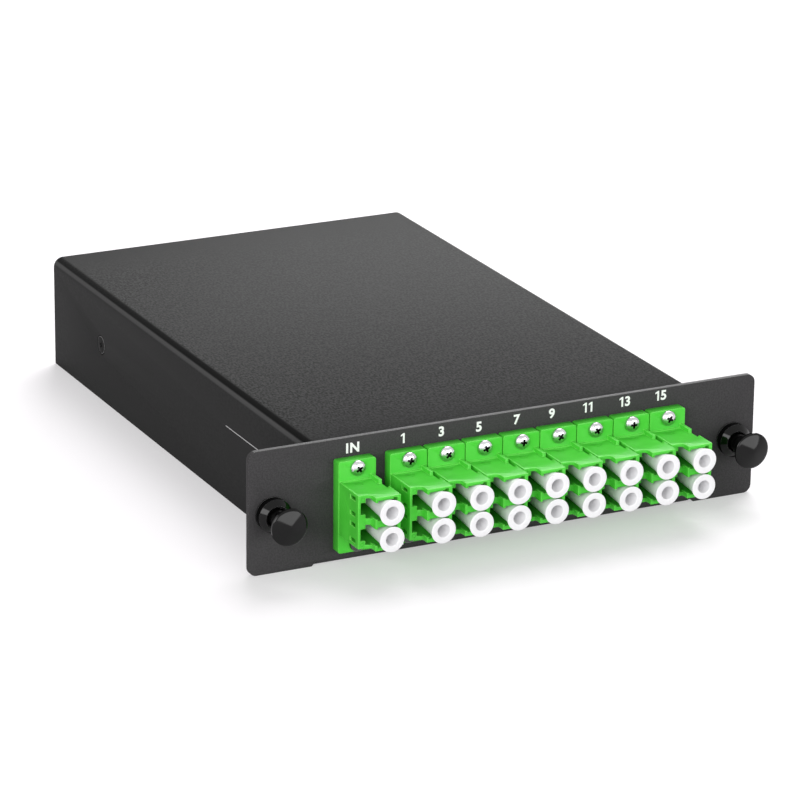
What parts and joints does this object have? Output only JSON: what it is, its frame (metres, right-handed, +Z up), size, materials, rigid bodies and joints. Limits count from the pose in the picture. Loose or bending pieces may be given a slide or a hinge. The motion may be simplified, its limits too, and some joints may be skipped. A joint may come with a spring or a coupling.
{
  "type": "plc fibre splitter",
  "caption": "Slide-in fibre splitter cassette: folded steel case, wide front panel with a row of duplex fibre adapters, dust caps in every port and a push-pull latch at each end.",
  "frame": {"origin": "midway between the two latches, on the rear face of the front panel", "axes": "+Y runs back along the case, in the direction the cassette slides in; +Z is up; +X is to the right seen from the front"},
  "size_m": [0.1296, 0.1717, 0.0294],
  "materials": {
    "powder_coat": "satin",
    "black_screw": "semi gloss",
    "green_plastic": "gloss",
    "white_plastic": "satin",
    "bright_screw": "polished",
    "ceramic": "satin",
    "black_plastic": "gloss",
    "plug_plastic": "satin",
    "device_steel": "brushed",
    "silica": "satin",
    "boot_rubber": "matt",
    "clip_plastic": "satin",
    "fibre_jacket": "satin"
  },
  "bodies": {
    "cassette": {"chassis": "powder_coat", "cover": "powder_coat", "cover_screws": "black_screw", "adapter_in": "green_plastic", "adapter_01_02": "green_plastic", "adapter_03_04": "green_plastic", "adapter_05_06": "green_plastic", "adapter_07_08": "green_plastic", "adapter_09_10": "green_plastic", "adapter_11_12": "green_plastic", "adapter_13_14": "green_plastic", "adapter_15_16": "green_plastic", "adapter_screws": "bright_screw", "alignment_sleeves": "ceramic", "left_latch_grommet": "black_plastic", "right_latch_grommet": "black_plastic", "input_plug": "plug_plastic", "output_plugs": "plug_plastic", "splitter_case": "device_steel", "splitter_chip": "silica", "input_fibre_array": "silica", "output_fibre_array": "silica", "splitter_input_boot": "boot_rubber", "splitter_output_boot": "boot_rubber", "splitter_cradle": "clip_plastic", "fibre_spool": "clip_plastic", "spool_screws": "bright_screw", "output_harness": "fibre_jacket", "output_tails": "fibre_jacket", "input_fibre": "fibre_jacket"},
    "cap_in_upper": {"cap_in_upper": "white_plastic"},
    "cap_in_lower": {"cap_in_lower": "white_plastic"},
    "cap_01": {"cap_01": "white_plastic"},
    "cap_02": {"cap_02": "white_plastic"},
    "cap_03": {"cap_03": "white_plastic"},
    "cap_04": {"cap_04": "white_plastic"},
    "cap_05": {"cap_05": "white_plastic"},
    "cap_06": {"cap_06": "white_plastic"},
    "cap_07": {"cap_07": "white_plastic"},
    "cap_08": {"cap_08": "white_plastic"},
    "cap_09": {"cap_09": "white_plastic"},
    "cap_10": {"cap_10": "white_plastic"},
    "cap_11": {"cap_11": "white_plastic"},
    "cap_12": {"cap_12": "white_plastic"},
    "cap_13": {"cap_13": "white_plastic"},
    "cap_14": {"cap_14": "white_plastic"},
    "cap_15": {"cap_15": "white_plastic"},
    "cap_16": {"cap_16": "white_plastic"},
    "left_plunger": {"left_latch_plunger": "black_plastic"},
    "right_plunger": {"right_latch_plunger": "black_plastic"}
  },
  "joints": [
    {"name": "cap_in_upper_pull", "type": "slide", "parent": "cassette", "child": "cap_in_upper", "axis": [0, -1, 0], "range_m": [0, 0.012]},
    {"name": "cap_in_lower_pull", "type": "slide", "parent": "cassette", "child": "cap_in_lower", "axis": [0, -1, 0], "range_m": [0, 0.012]},
    {"name": "cap_01_pull", "type": "slide", "parent": "cassette", "child": "cap_01", "axis": [0, -1, 0], "range_m": [0, 0.012]},
    {"name": "cap_02_pull", "type": "slide", "parent": "cassette", "child": "cap_02", "axis": [0, -1, 0], "range_m": [0, 0.012]},
    {"name": "cap_03_pull", "type": "slide", "parent": "cassette", "child": "cap_03", "axis": [0, -1, 0], "range_m": [0, 0.012]},
    {"name": "cap_04_pull", "type": "slide", "parent": "cassette", "child": "cap_04", "axis": [0, -1, 0], "range_m": [0, 0.012]},
    {"name": "cap_05_pull", "type": "slide", "parent": "cassette", "child": "cap_05", "axis": [0, -1, 0], "range_m": [0, 0.012]},
    {"name": "cap_06_pull", "type": "slide", "parent": "cassette", "child": "cap_06", "axis": [0, -1, 0], "range_m": [0, 0.012]},
    {"name": "cap_07_pull", "type": "slide", "parent": "cassette", "child": "cap_07", "axis": [0, -1, 0], "range_m": [0, 0.012]},
    {"name": "cap_08_pull", "type": "slide", "parent": "cassette", "child": "cap_08", "axis": [0, -1, 0], "range_m": [0, 0.012]},
    {"name": "cap_09_pull", "type": "slide", "parent": "cassette", "child": "cap_09", "axis": [0, -1, 0], "range_m": [0, 0.012]},
    {"name": "cap_10_pull", "type": "slide", "parent": "cassette", "child": "cap_10", "axis": [0, -1, 0], "range_m": [0, 0.012]},
    {"name": "cap_11_pull", "type": "slide", "parent": "cassette", "child": "cap_11", "axis": [0, -1, 0], "range_m": [0, 0.012]},
    {"name": "cap_12_pull", "type": "slide", "parent": "cassette", "child": "cap_12", "axis": [0, -1, 0], "range_m": [0, 0.012]},
    {"name": "cap_13_pull", "type": "slide", "parent": "cassette", "child": "cap_13", "axis": [0, -1, 0], "range_m": [0, 0.012]},
    {"name": "cap_14_pull", "type": "slide", "parent": "cassette", "child": "cap_14", "axis": [0, -1, 0], "range_m": [0, 0.012]},
    {"name": "cap_15_pull", "type": "slide", "parent": "cassette", "child": "cap_15", "axis": [0, -1, 0], "range_m": [0, 0.012]},
    {"name": "cap_16_pull", "type": "slide", "parent": "cassette", "child": "cap_16", "axis": [0, -1, 0], "range_m": [0, 0.012]},
    {"name": "left_latch_push", "type": "slide", "parent": "cassette", "child": "left_plunger", "axis": [0, 1, 0], "range_m": [0, 0.0048]},
    {"name": "right_latch_push", "type": "slide", "parent": "cassette", "child": "right_plunger", "axis": [0, 1, 0], "range_m": [0, 0.0048]}
  ]
}
